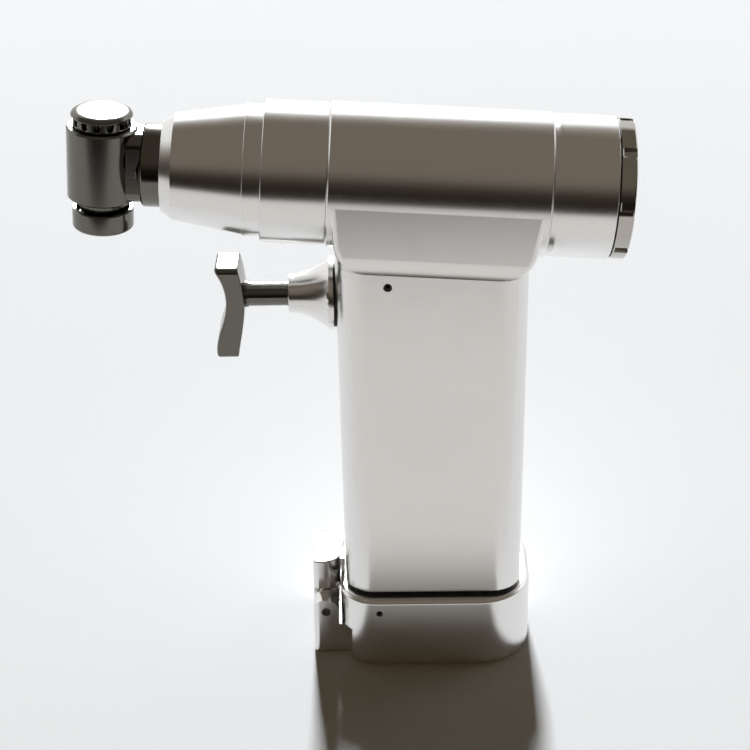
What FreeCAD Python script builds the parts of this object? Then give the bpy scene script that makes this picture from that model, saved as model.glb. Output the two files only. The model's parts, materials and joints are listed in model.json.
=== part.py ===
import FreeCAD, Part
import math
import os

# Surgical oscillating saw, millimetres. The nose points to -X, the handle stands along Z,
# the plane Y = 0 cuts the saw in half and the origin is the middle of the battery lid's foot.
# The barrel lies nose-up over the handle, so its pieces are drawn in the barrel's own frame
# (x along the barrel to the rear, z square to it) and then turned and lifted into place.

os.makedirs("parts", exist_ok=True)

# barrel placement
BARREL_TILT = 3.85
BARREL_HEIGHT = 152.5

# fits and small gaps
RUN_GAP = 0.05
FREE_GAP = 0.3
REST_GAP = 0.1
SKIN = 0.5

# stations along the barrel
HEAD_AXIS = -92.4
NECK_FRONT = -81.0
CONE_FRONT = -75.5
CONE_CHAMFER_END = -72.2
CONE_LAND_START = -52.3
COLLAR_FRONT = -47.3
HOUSING_FRONT = -29.0
HOUSING_REAR = 33.1
REAR_COLLAR_REAR = 51.0
CAP_REAR = 55.8

# barrel radii
CONE_FRONT_RADIUS = 12.75
CONE_CHAMFER_RADIUS = 15.0
CONE_REAR_RADIUS = 18.3
CONE_LAND_RADIUS = 18.6
COLLAR_RADIUS = 20.0
HOUSING_RADIUS = 20.4
REAR_COLLAR_RADIUS = 20.15
HOUSING_BORE = 17.0
SPIGOT_RADIUS = 18.4
SPIGOT_LENGTH = 7.0
EDGE_BREAK = 0.4
SEAM_BEVEL_WIDTH = 1.5
SEAM_BEVEL_DEPTH = 0.4
CAP_PLUG = 5.0
CAP_RIM_RADIUS = 19.9
CAP_RIM_EDGE = 0.6
CAP_NOTCHES = 8
CAP_NOTCH_TURN = 7.6
CONE_SPIGOT_REAR = -41.0
CONE_ROOM_FRONT = -59.0
CONE_ROOM_RADIUS = 14.0

# keel under the barrel
KEEL_HALF = 20.3
KEEL_BOTTOM = -22.1
KEEL_FRONT_TOP = -28.6
KEEL_FRONT_LOW = -25.4
KEEL_REAR_TOP = 32.6
KEEL_REAR_LOW = 29.3
KEEL_CORNER_RADIUS = 10.0
KEEL_EDGE_RADIUS = 1.9
KEEL_LEAN = 1.6
KEEL_LEAN_START = -16.4

# head, heights measured from the barrel axis
HEAD_RADIUS = 10.0
HEAD_TOP = 11.4
HEAD_BOTTOM = -9.9
HEAD_BORE = 5.5
NECK_RADIUS = 11.7
NECK_SPIGOT_RADIUS = 9.2
NECK_SPIGOT_REAR = -54.5
SHAFT_BORE = 6.0
SHAFT_BORE_FRONT = -76.0
SHAFT_TUNNEL = 3.2
WEB_HALF = 6.9
WEB_SUNK = 0.6
WEB_LIFT = 0.3
WEB_TOP = 10.6
WEB_CORNER_RADIUS = 3.4
WEB_FLARE = 2.9
FLARE_ROOT = WEB_HALF - 0.3
FORK_ROOM_HALF = 5.2
FORK_ROOM_REAR = -84.6

# blade clamp
SEAT_RADIUS = 8.2
SEAT_HEIGHT = 2.5
SEAT_TEETH = 14
SEAT_TURN = 92.8
SEAT_TOOTH_ROOT = 6.4
SEAT_TOOTH_LOW = 0.7
SEAT_GAP_HALF = 0.85
CAP_RADIUS = 8.7
CAP_HEIGHT = 1.5
CAP_EDGE = 0.5
CAP_FLAT_RADIUS = 6.7
SPINDLE_RADIUS = 3.5
SPINDLE_BORE = 1.6
ROD_RADIUS = SPINDLE_BORE - RUN_GAP
RELEASE_STROKE = 2.0
BUTTON_RADIUS = 8.7
BUTTON_TOP = -13.1
BUTTON_BOTTOM = -19.1
BUTTON_STEM_RADIUS = 5.0
BUTTON_CUP_RADIUS = 7.7
BUTTON_CUP_FLOOR = -17.9
GUIDE_PRESSED = 1.5
GUIDE_TOP_RADIUS = 7.9
GUIDE_LOW_RADIUS = 6.9
NUT_LOW = -11.6
NUT_HIGH = -9.9
ROD_LOW = -12.4

# drive
ECCENTRIC = 0.35
ECCENTRIC_PIN_RADIUS = 1.1
SHAFT_RADIUS = 2.5
SHAFT_FRONT = -80.0
SHAFT_REAR = -41.0
ECCENTRIC_RING_RADIUS = 2.6
ECCENTRIC_RING_FRONT = -88.2
ECCENTRIC_RING_WIDTH = 2.8
FORK_HALF_SLOT = ECCENTRIC_RING_RADIUS + 2 * ECCENTRIC + REST_GAP
FORK_TINE = 1.1
FORK_HALF_HEIGHT = 2.0
MOTOR_RADIUS = 15.0
MOTOR_FRONT = -24.0
MOTOR_REAR = 30.0
MOTOR_SHAFT_RADIUS = 2.0
JAW_ANGLE = 46

# handle
HANDLE_BOTTOM = 24.2
HANDLE_HALF = 18.2
HANDLE_CORNER = 9.0
HANDLE_FRONT_LOW = -26.4
HANDLE_REAR_LOW = 27.1
HANDLE_FRONT_TOP = -27.4
HANDLE_REAR_TOP = 27.8
HANDLE_DRAWN_TOP = BARREL_HEIGHT - 18.5
HANDLE_BORE_FRONT = -24.2
HANDLE_BORE_REAR = 24.9
HANDLE_WALL = 2.4
HANDLE_BORE_HALF = HANDLE_HALF - HANDLE_WALL
HANDLE_BORE_CORNER = 6.0
SPIGOT_LOW = BARREL_HEIGHT - 30.1
GRUB_HEIGHT = BARREL_HEIGHT - 25.2
GRUB_X = -12.4
GRUB_RADIUS = 1.2
GRUB_SUNK = 0.6

# trigger
TRIGGER_HEIGHT = BARREL_HEIGHT - 35.4
STEM_RADIUS = 3.55
BOSS_FRONT = -41.2
BOSS_FRONT_RADIUS = 5.6
BOSS_REAR_RADIUS = 10.7
BOSS_BORE = 4.6
PLATE_HALF = 6.5
PLATE_LOW = TRIGGER_HEIGHT - 17.9
PLATE_HIGH = TRIGGER_HEIGHT + 10.8
PLATE_FRONT_DEEP = -59.2
PLATE_FRONT = [
    (-62.9, PLATE_HIGH),
    (-60.5, TRIGGER_HEIGHT + 6.8),
    (PLATE_FRONT_DEEP, TRIGGER_HEIGHT + 0.8),
    (-59.8, TRIGGER_HEIGHT - 4.7),
    (-61.2, TRIGGER_HEIGHT - 9.2),
    (-62.3, PLATE_LOW),
]
PLATE_BACK_DEEP = -53.9
PLATE_BACK = [
    (-55.4, PLATE_HIGH),
    (-54.3, TRIGGER_HEIGHT + 4.7),
    (PLATE_BACK_DEEP, TRIGGER_HEIGHT - 1.7),
    (-54.6, TRIGGER_HEIGHT - 8.2),
    (-56.3, PLATE_LOW),
]
PLATE_ROLL = 1.6
GASKET_THICK = 0.8
GASKET_RADIUS = 9.9
TRIGGER_STROKE = 7.0
STEM_SHOULDER = -19.0
STEM_TAIL_RADIUS = 2.0
STEM_TAIL_END = -5.5
SENSOR_FRONT = -8.0
SENSOR_REAR = 5.0
BOARD_X = 5.0

# battery lid and latch
LID_TOP = 23.0
LID_TOP_ROUND = 1.2
LID_HALF = 21.9
LID_FRONT = -28.1
LID_REAR = 30.2
LID_FRONT_CORNER = 11.0
LID_REAR_CORNER = 16.0
LID_POCKET_X = -24.7
LID_POCKET_TOP = 11.0
LID_FLOOR = 3.0
LID_BORE_HALF = HANDLE_BORE_HALF - 0.1
LID_BORE_FRONT = -23.6
LID_BORE_REAR = 24.3
SEAL_INSET = 1.6
SEAL_WIDTH = 1.3
LID_GRUB_X = -16.2
LID_GRUB_HEIGHT = 18.7
LID_GRUB_RADIUS = 1.0
LID_GRUB_DEPTH = 4.7
BRACKET_FRONT = -36.6
BRACKET_BACK = -28.7
BRACKET_HALF = 14.9
BRACKET_BASE_TOP = 10.2
EAR_TOP = 18.9
EAR_INNER = 8.9
PIN_X = -32.7
PIN_HEIGHT = 14.6
PIN_RADIUS = 1.5
PIN_HALF = 13.6
LEVER_HALF = 8.6
LEVER_BACK = -28.4
LEVER_TOP = 29.1
LEVER_HEAD_LOW = 19.2
LEVER_BACK_CORNER = 5.2
LEVER_FRONT_CORNER = 1.7
KNUCKLE_RADIUS = 3.9

# battery
CELL_LENGTH = 50.0
CELL_WALL = 0.4
CASE_WALL = 0.7
CASE_GAP = 0.7
CELL_RADIUS = (HANDLE_BORE_HALF - CASE_GAP - CASE_WALL - CELL_WALL / 2) / 2
CASE_BOTTOM = 3.0
CASE_TOP = 62.0
CONTACT_HEIGHT = 68.0


def vec(x, y, z):
    return FreeCAD.Vector(x, y, z)


def solid_of(shape):
    clean = shape.removeSplitter()
    if len(clean.Solids) == 1:
        return clean.Solids[0]
    return clean


def rod(radius, start, end, axis, a=0.0, b=0.0):
    # round bar along x, y or z; a and b are its place on the other two axes in order
    low = min(start, end)
    length = abs(end - start)
    if axis == "x":
        return Part.makeCylinder(radius, length, vec(low, a, b), vec(1, 0, 0))
    if axis == "y":
        return Part.makeCylinder(radius, length, vec(a, low, b), vec(0, 1, 0))
    return Part.makeCylinder(radius, length, vec(a, b, low), vec(0, 0, 1))


def tube(outer, inner, start, end, axis, a=0.0, b=0.0):
    return rod(outer, start, end, axis, a, b).cut(rod(inner, start - 1, end + 1, axis, a, b))


def block(x0, x1, y0, y1, z0, z1):
    return Part.makeBox(x1 - x0, y1 - y0, z1 - z0, vec(x0, y0, z0))


def turned(points, axis, centre=0.0):
    # points are (place along the axis, radius); "arc" entries are ("arc", middle, end)
    def at(point):
        if axis == "x":
            return vec(point[0], 0, point[1])
        return vec(centre + point[1], 0, point[0])

    edges = []
    here = points[0]
    for step in points[1:]:
        if step[0] == "arc":
            edges.append(Part.Arc(at(here), at(step[1]), at(step[2])).toShape())
            here = step[2]
        else:
            edges.append(Part.makeLine(at(here), at(step)))
            here = step
    edges.append(Part.makeLine(at(here), at(points[0])))
    face = Part.Face(Part.Wire(edges))
    if axis == "x":
        return face.revolve(vec(0, 0, 0), vec(1, 0, 0), 360)
    return face.revolve(vec(centre, 0, 0), vec(0, 0, 1), 360)


def round_outline(front, rear, half, front_corner, rear_corner, z):
    # plan outline of a rounded rectangle, as one closed wire at height z
    corners = [
        (rear - rear_corner, half - rear_corner, rear_corner, 0),
        (front + front_corner, half - front_corner, front_corner, 90),
        (front + front_corner, -half + front_corner, front_corner, 180),
        (rear - rear_corner, -half + rear_corner, rear_corner, 270),
    ]

    def on(corner, angle):
        turn = math.radians(angle)
        return vec(corner[0] + corner[2] * math.cos(turn), corner[1] + corner[2] * math.sin(turn), z)

    edges = []
    for index, corner in enumerate(corners):
        start = on(corner, corner[3])
        middle = on(corner, corner[3] + 45)
        end = on(corner, corner[3] + 90)
        edges.append(Part.Arc(start, middle, end).toShape())
        follower = corners[(index + 1) % 4]
        edges.append(Part.makeLine(end, on(follower, follower[3])))
    return Part.Wire(edges)


def round_block(front, rear, half, front_corner, rear_corner, low, high):
    outline = round_outline(front, rear, half, front_corner, rear_corner, low)
    return Part.Face(outline).extrude(vec(0, 0, high - low))


def fillet_where(shape, radius, test):
    edges = [edge for edge in shape.Edges if test(edge)]
    return shape.makeFillet(radius, edges)


def chamfer_where(shape, size, test):
    edges = [edge for edge in shape.Edges if test(edge)]
    return shape.makeChamfer(size, edges)


def to_barrel(shape):
    moved = shape.copy()
    moved.rotate(vec(0, 0, 0), vec(0, 1, 0), BARREL_TILT)
    moved.translate(vec(0, 0, BARREL_HEIGHT))
    return moved


def spring(radius, wire, start, end, turns, axis, a=0.0, b=0.0):
    # square-wire coil with its centre line from start to end
    length = end - start - wire
    path = Part.makeHelix(length / turns, length, radius)
    corner = wire / 2
    points = [
        vec(radius - corner, 0, -corner),
        vec(radius + corner, 0, -corner),
        vec(radius + corner, 0, corner),
        vec(radius - corner, 0, corner),
        vec(radius - corner, 0, -corner),
    ]
    section = Part.makePolygon(points)
    coil = Part.Wire(path).makePipeShell([section], True, True)
    if axis == "x":
        coil.rotate(vec(0, 0, 0), vec(0, 1, 0), 90)
        coil.translate(vec(start + corner, a, b))
    elif axis == "y":
        coil.rotate(vec(0, 0, 0), vec(1, 0, 0), -90)
        coil.translate(vec(a, start + corner, b))
    else:
        coil.translate(vec(a, b, start + corner))
    return coil


nodes = {}

# main housing: the cylinder and the squared keel that carries the handle


def is_round_edge(edge):
    return edge.Length > 100 and edge.Curve.TypeId == "Part::GeomCircle"


housing = rod(HOUSING_RADIUS, HOUSING_FRONT, HOUSING_REAR, "x")
housing = chamfer_where(housing, EDGE_BREAK, is_round_edge)
keel_side = Part.makePolygon([
    vec(KEEL_FRONT_TOP, 0, 0),
    vec(KEEL_REAR_TOP, 0, 0),
    vec(KEEL_REAR_LOW, 0, KEEL_BOTTOM),
    vec(KEEL_FRONT_LOW, 0, KEEL_BOTTOM),
    vec(KEEL_FRONT_TOP, 0, 0),
])
keel = Part.Face(keel_side).extrude(vec(0, 2 * KEEL_HALF, 0))
keel.translate(vec(0, -KEEL_HALF, 0))


def is_low_corner(edge):
    box = edge.BoundBox
    return box.YLength > KEEL_HALF and box.ZMax < KEEL_BOTTOM + 0.1


def is_cheek_edge(edge):
    box = edge.BoundBox
    return box.YLength < 0.1 and box.ZMin < -1


keel = fillet_where(keel, KEEL_CORNER_RADIUS, is_low_corner)
keel = fillet_where(keel, KEEL_EDGE_RADIUS, is_cheek_edge)

# each cheek leans in over its lowest few millimetres, down to the handle's side
cheek_low = KEEL_HALF - KEEL_LEAN
cheek_middle = KEEL_HALF - KEEL_LEAN / 4
cheek_mid_height = (KEEL_BOTTOM + KEEL_LEAN_START) / 2
keel_section = Part.Wire([
    Part.makeLine(vec(-40, -KEEL_HALF, 2), vec(-40, KEEL_HALF, 2)),
    Part.makeLine(vec(-40, KEEL_HALF, 2), vec(-40, KEEL_HALF, KEEL_LEAN_START)),
    Part.Arc(vec(-40, KEEL_HALF, KEEL_LEAN_START), vec(-40, cheek_middle, cheek_mid_height),
             vec(-40, cheek_low, KEEL_BOTTOM)).toShape(),
    Part.makeLine(vec(-40, cheek_low, KEEL_BOTTOM), vec(-40, -cheek_low, KEEL_BOTTOM)),
    Part.Arc(vec(-40, -cheek_low, KEEL_BOTTOM), vec(-40, -cheek_middle, cheek_mid_height),
             vec(-40, -KEEL_HALF, KEEL_LEAN_START)).toShape(),
    Part.makeLine(vec(-40, -KEEL_HALF, KEEL_LEAN_START), vec(-40, -KEEL_HALF, 2)),
])
keel = keel.common(Part.Face(keel_section).extrude(vec(80, 0, 0)))
housing = housing.fuse(keel)
housing = housing.fuse(rod(SPIGOT_RADIUS, HOUSING_FRONT - SPIGOT_LENGTH, HOUSING_FRONT, "x"))
housing = housing.fuse(rod(SPIGOT_RADIUS, HOUSING_REAR, HOUSING_REAR + SPIGOT_LENGTH, "x"))
housing = to_barrel(housing)
housing_bore = to_barrel(rod(
    HOUSING_BORE, HOUSING_FRONT - SPIGOT_LENGTH - 1, HOUSING_REAR + SPIGOT_LENGTH + 1, "x"))

# handle outer form, a rounded rectangle that widens slightly towards the barrel
handle_low = round_outline(
    HANDLE_FRONT_LOW, HANDLE_REAR_LOW, HANDLE_HALF, HANDLE_CORNER, HANDLE_CORNER, HANDLE_BOTTOM)
handle_high = round_outline(
    HANDLE_FRONT_TOP, HANDLE_REAR_TOP, HANDLE_HALF, HANDLE_CORNER, HANDLE_CORNER, HANDLE_DRAWN_TOP)
handle_form = Part.makeLoft([handle_low, handle_high], True, True)
above_keel = to_barrel(block(-60, 60, -40, 40, KEEL_BOTTOM, KEEL_BOTTOM + 40))

# the housing's spigot goes down into the handle and takes the two grub screws
spigot = round_block(
    HANDLE_BORE_FRONT, HANDLE_BORE_REAR, HANDLE_BORE_HALF, HANDLE_BORE_CORNER, HANDLE_BORE_CORNER,
    SPIGOT_LOW, HANDLE_DRAWN_TOP)
spigot = spigot.cut(above_keel)
wire_way = rod(6.0, SPIGOT_LOW - 1, BARREL_HEIGHT - 10, "z", 8.0, 0.0)
grub_root = HANDLE_BORE_HALF - 3
grub_head = HANDLE_HALF - GRUB_SUNK
grubs = rod(GRUB_RADIUS, -grub_head, -grub_root, "y", GRUB_X, GRUB_HEIGHT)
grubs_far = rod(GRUB_RADIUS, grub_root, grub_head, "y", GRUB_X, GRUB_HEIGHT)
grub_holes = rod(GRUB_RADIUS, -HANDLE_HALF - 1, -grub_root, "y", GRUB_X, GRUB_HEIGHT)
grub_holes = grub_holes.fuse(rod(GRUB_RADIUS, grub_root, HANDLE_HALF + 1, "y", GRUB_X, GRUB_HEIGHT))
neck_core = round_block(
    HANDLE_FRONT_TOP, HANDLE_REAR_TOP, HANDLE_HALF, HANDLE_CORNER, HANDLE_CORNER,
    SPIGOT_LOW, BARREL_HEIGHT - 3)
housing = housing.fuse(neck_core.common(above_keel)).fuse(spigot)
housing = housing.cut(housing_bore).cut(wire_way).cut(grub_holes)
nodes["main_housing"] = solid_of(housing)

handle = handle_form.cut(above_keel)
handle_bore = round_block(
    HANDLE_BORE_FRONT, HANDLE_BORE_REAR, HANDLE_BORE_HALF, HANDLE_BORE_CORNER, HANDLE_BORE_CORNER,
    HANDLE_BOTTOM - 1, HANDLE_DRAWN_TOP)
stem_way = rod(STEM_RADIUS + FREE_GAP, HANDLE_FRONT_TOP - 2, HANDLE_BORE_FRONT + 2, "x", 0.0, TRIGGER_HEIGHT)
handle = handle.cut(handle_bore).cut(grub_holes).cut(stem_way)
nodes["handle_shell"] = solid_of(handle)


def hex_socket(radius, face_y, inward, x, z):
    ring = []
    for index in range(7):
        turn = math.radians(60 * index)
        ring.append(vec(x + radius * math.cos(turn), face_y, z + radius * math.sin(turn)))
    return Part.Face(Part.makePolygon(ring)).extrude(vec(0, inward, 0))


near_grub = grubs.cut(hex_socket(0.7, -HANDLE_HALF + GRUB_SUNK, 1.2, GRUB_X, GRUB_HEIGHT))
far_grub = grubs_far.cut(hex_socket(0.7, HANDLE_HALF - GRUB_SUNK, -1.2, GRUB_X, GRUB_HEIGHT))
nodes["handle_grub_screws"] = Part.makeCompound([near_grub, far_grub])

# plain rings either side of the housing
collar_rear_bore = tube(COLLAR_RADIUS, SPIGOT_RADIUS, HOUSING_FRONT - SPIGOT_LENGTH, HOUSING_FRONT, "x")
collar_front_part = tube(COLLAR_RADIUS, HOUSING_BORE, COLLAR_FRONT, HOUSING_FRONT - SPIGOT_LENGTH, "x")
front_collar = collar_rear_bore.fuse(collar_front_part).removeSplitter()


def is_rim(edge):
    return edge.Curve.TypeId == "Part::GeomCircle" and edge.Curve.Radius > CAP_RIM_RADIUS


def is_rear_rim(edge):
    return is_rim(edge) and edge.BoundBox.XMin > REAR_COLLAR_REAR - 1


front_collar = chamfer_where(front_collar, EDGE_BREAK, is_rim)
nodes["front_collar"] = solid_of(to_barrel(front_collar))

rear_front_part = turned([
    (HOUSING_REAR, SPIGOT_RADIUS),
    (HOUSING_REAR, REAR_COLLAR_RADIUS - SEAM_BEVEL_DEPTH),
    (HOUSING_REAR + SEAM_BEVEL_WIDTH, REAR_COLLAR_RADIUS),
    (HOUSING_REAR + SPIGOT_LENGTH, REAR_COLLAR_RADIUS),
    (HOUSING_REAR + SPIGOT_LENGTH, SPIGOT_RADIUS),
], "x")
rear_back_part = tube(REAR_COLLAR_RADIUS, HOUSING_BORE, HOUSING_REAR + SPIGOT_LENGTH, REAR_COLLAR_REAR, "x")
rear_collar = rear_front_part.fuse(rear_back_part).removeSplitter()
rear_collar = chamfer_where(rear_collar, EDGE_BREAK, is_rear_rim)
nodes["rear_collar"] = solid_of(to_barrel(rear_collar))

# rear cap: flat face, straight band with spanner notches, and a plug that screws into the collar
rear_cap = turned([
    (REAR_COLLAR_REAR - CAP_PLUG, 0.0),
    (REAR_COLLAR_REAR - CAP_PLUG, HOUSING_BORE),
    (REAR_COLLAR_REAR + SKIN, HOUSING_BORE),
    (REAR_COLLAR_REAR + SKIN, CAP_RIM_RADIUS),
    (CAP_REAR - CAP_RIM_EDGE, CAP_RIM_RADIUS),
    ("arc", (CAP_REAR - 0.29 * CAP_RIM_EDGE, CAP_RIM_RADIUS - 0.29 * CAP_RIM_EDGE),
     (CAP_REAR, CAP_RIM_RADIUS - CAP_RIM_EDGE)),
    (CAP_REAR, 0.0),
], "x")
for index in range(CAP_NOTCHES):
    notch = block(REAR_COLLAR_REAR + 0.9, CAP_REAR + 1, -1.4, 1.4, 18.8, 22)
    notch.rotate(vec(0, 0, 0), vec(1, 0, 0), 360 / CAP_NOTCHES * index - CAP_NOTCH_TURN)
    rear_cap = rear_cap.cut(notch)
nodes["rear_cap"] = solid_of(to_barrel(rear_cap))
cap_seal = tube(CAP_RIM_RADIUS - 0.5, HOUSING_BORE, REAR_COLLAR_REAR, REAR_COLLAR_REAR + SKIN, "x")
nodes["rear_cap_seal"] = solid_of(to_barrel(cap_seal))

# nose cone with its chamfered front, rear land and the spigot inside the collar
nose_cone = turned([
    (CONE_FRONT, NECK_SPIGOT_RADIUS),
    (CONE_FRONT, CONE_FRONT_RADIUS),
    (CONE_CHAMFER_END, CONE_CHAMFER_RADIUS),
    (CONE_LAND_START, CONE_REAR_RADIUS),
    (CONE_LAND_START, CONE_LAND_RADIUS),
    (COLLAR_FRONT, CONE_LAND_RADIUS),
    (COLLAR_FRONT, HOUSING_BORE),
    (CONE_SPIGOT_REAR, HOUSING_BORE),
    (CONE_SPIGOT_REAR, CONE_ROOM_RADIUS),
    (CONE_ROOM_FRONT, CONE_ROOM_RADIUS),
    (CONE_ROOM_FRONT, NECK_SPIGOT_RADIUS),
], "x")
nodes["nose_cone"] = solid_of(to_barrel(nose_cone))
nodes["neck_lock_ring"] = solid_of(to_barrel(
    tube(12.5, NECK_SPIGOT_RADIUS, CONE_ROOM_FRONT, NECK_SPIGOT_REAR, "x")))

# head body: upright barrel, web that flares up to a round neck
head = rod(HEAD_RADIUS, HEAD_BOTTOM, HEAD_TOP, "z", HEAD_AXIS, 0.0)
head = chamfer_where(head, 0.5, lambda e: e.Length > 2 * math.pi * HEAD_RADIUS - 0.1)
web = block(HEAD_AXIS, NECK_FRONT + WEB_SUNK, -WEB_HALF, WEB_HALF, HEAD_BOTTOM + WEB_LIFT, WEB_TOP)
web = fillet_where(web, WEB_CORNER_RADIUS, lambda e: e.BoundBox.XLength > 5)
head = head.fuse(web)
neck = turned([
    (NECK_FRONT - WEB_FLARE, 0.0),
    (NECK_FRONT - WEB_FLARE, FLARE_ROOT),
    ("arc", (NECK_FRONT - 0.29 * WEB_FLARE, FLARE_ROOT + 0.29 * WEB_FLARE),
     (NECK_FRONT, FLARE_ROOT + WEB_FLARE)),
    (NECK_FRONT, NECK_RADIUS - 1.0),
    ("arc", (NECK_FRONT + 0.3, NECK_RADIUS - 0.3), (NECK_FRONT + 1.0, NECK_RADIUS)),
    (CONE_FRONT, NECK_RADIUS),
    (CONE_FRONT, NECK_SPIGOT_RADIUS),
    (NECK_SPIGOT_REAR, NECK_SPIGOT_RADIUS),
    (NECK_SPIGOT_REAR, 0.0),
], "x")
head = head.fuse(neck).removeSplitter()
head = head.cut(rod(HEAD_BORE, HEAD_BOTTOM - 1, HEAD_TOP + 1, "z", HEAD_AXIS, 0.0))
fork_room_half_height = FORK_HALF_HEIGHT + FREE_GAP
head = head.cut(block(
    HEAD_AXIS, FORK_ROOM_REAR, -FORK_ROOM_HALF, FORK_ROOM_HALF,
    -fork_room_half_height, fork_room_half_height))
head = head.cut(rod(SHAFT_TUNNEL, HEAD_AXIS, SHAFT_BORE_FRONT, "x"))
head = head.cut(rod(SHAFT_BORE, SHAFT_BORE_FRONT, NECK_SPIGOT_REAR + 1, "x"))
nodes["head_body"] = solid_of(to_barrel(head))

# spindle, its bearings, the fork that swings it and the toothed blade seat on top
SEAT_LOW = HEAD_TOP + FREE_GAP
SEAT_HIGH = SEAT_LOW + SEAT_HEIGHT
BEARING_HEIGHT = 3.0
UPPER_BEARING = HEAD_TOP - BEARING_HEIGHT - 0.4
LOWER_BEARING = HEAD_BOTTOM + 1.9
SPINDLE_LOW = HEAD_BOTTOM + 2.2
SPRING_ROOM_RADIUS = 2.7
SPRING_ROOM_TOP = -1.0
spindle = rod(SPINDLE_RADIUS, SPINDLE_LOW, SEAT_HIGH, "z", HEAD_AXIS, 0.0)
spindle = spindle.cut(rod(SPINDLE_BORE, SPINDLE_LOW - 1, SEAT_HIGH + 1, "z", HEAD_AXIS, 0.0))
spindle = spindle.cut(rod(SPRING_ROOM_RADIUS, SPINDLE_LOW - 1, SPRING_ROOM_TOP, "z", HEAD_AXIS, 0.0))
nodes["oscillating_spindle"] = solid_of(to_barrel(spindle))


def bearing(outer, inner, start, end, axis, a=0.0, b=0.0):
    # closed ring bearing: the shield lies in a shallow groove on both faces
    ring = tube(outer, inner, start, end, axis, a, b)
    wide = inner + 0.75 * (outer - inner)
    slim = inner + 0.25 * (outer - inner)
    for low, high in ((start - 1, start + 0.3), (end - 0.3, end + 1)):
        ring = ring.cut(tube(wide, slim, low, high, axis, a, b))
    return ring


nodes["spindle_bearing_upper"] = solid_of(to_barrel(bearing(
    HEAD_BORE, SPINDLE_RADIUS + RUN_GAP, UPPER_BEARING, UPPER_BEARING + BEARING_HEIGHT, "z", HEAD_AXIS)))
nodes["spindle_bearing_lower"] = solid_of(to_barrel(bearing(
    HEAD_BORE, SPINDLE_RADIUS + RUN_GAP, LOWER_BEARING, LOWER_BEARING + BEARING_HEIGHT, "z", HEAD_AXIS)))

tine_end = ECCENTRIC_RING_FRONT + ECCENTRIC_RING_WIDTH + 0.2
fork = rod(HEAD_BORE - 0.6, -FORK_HALF_HEIGHT, FORK_HALF_HEIGHT, "z", HEAD_AXIS, 0.0)
fork_width = FORK_HALF_SLOT + FORK_TINE
fork = fork.fuse(block(HEAD_AXIS, tine_end, -fork_width, fork_width, -FORK_HALF_HEIGHT, FORK_HALF_HEIGHT))
slot_start = ECCENTRIC_RING_FRONT - 0.5
fork = fork.cut(block(slot_start, tine_end + 1, -FORK_HALF_SLOT, FORK_HALF_SLOT, -5, 5))
fork = fork.cut(rod(SPINDLE_RADIUS, -5, 5, "z", HEAD_AXIS, 0.0))
nodes["fork_arm"] = solid_of(to_barrel(fork))

seat = tube(SEAT_RADIUS, SPINDLE_RADIUS, SEAT_LOW, SEAT_HIGH, "z", HEAD_AXIS, 0.0)
for index in range(SEAT_TEETH):
    gap = block(SEAT_TOOTH_ROOT, 10, -SEAT_GAP_HALF, SEAT_GAP_HALF, SEAT_LOW + SEAT_TOOTH_LOW, SEAT_HIGH + 1)
    gap.rotate(vec(0, 0, 0), vec(0, 0, 1), 360 / SEAT_TEETH * index - SEAT_TURN)
    gap.translate(vec(HEAD_AXIS, 0, 0))
    seat = seat.cut(gap)
nodes["blade_seat"] = solid_of(to_barrel(seat))

# clamp: cap, draw rod with its nut, and the spring that pulls the cap down on the seat
cap_low = SEAT_HIGH + REST_GAP
cap_crown = CAP_HEIGHT - CAP_EDGE
clamp_cap = turned([
    (cap_low, 0.0),
    (cap_low, CAP_RADIUS - 0.2),
    (cap_low + 0.2, CAP_RADIUS),
    (cap_low + CAP_EDGE, CAP_RADIUS),
    ("arc", (cap_low + CAP_EDGE + 0.62 * cap_crown, (CAP_RADIUS + CAP_FLAT_RADIUS) / 2 + 0.15),
     (cap_low + CAP_HEIGHT, CAP_FLAT_RADIUS)),
    (cap_low + CAP_HEIGHT, 0.0),
], "z", HEAD_AXIS)
nodes["clamp_cap"] = solid_of(to_barrel(clamp_cap))
draw_rod = rod(ROD_RADIUS, ROD_LOW, cap_low, "z", HEAD_AXIS, 0.0)
nodes["draw_rod"] = solid_of(to_barrel(draw_rod))
rod_nut = tube(SPRING_ROOM_RADIUS - FREE_GAP, ROD_RADIUS, NUT_LOW, NUT_HIGH, "z", HEAD_AXIS, 0.0)
nodes["draw_rod_nut"] = solid_of(to_barrel(rod_nut))
clamp_spring = spring(2.15, 0.7, NUT_HIGH + 0.05, SPRING_ROOM_TOP - 0.05, 6, "z", HEAD_AXIS, 0.0)
nodes["clamp_spring"] = to_barrel(clamp_spring)

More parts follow.
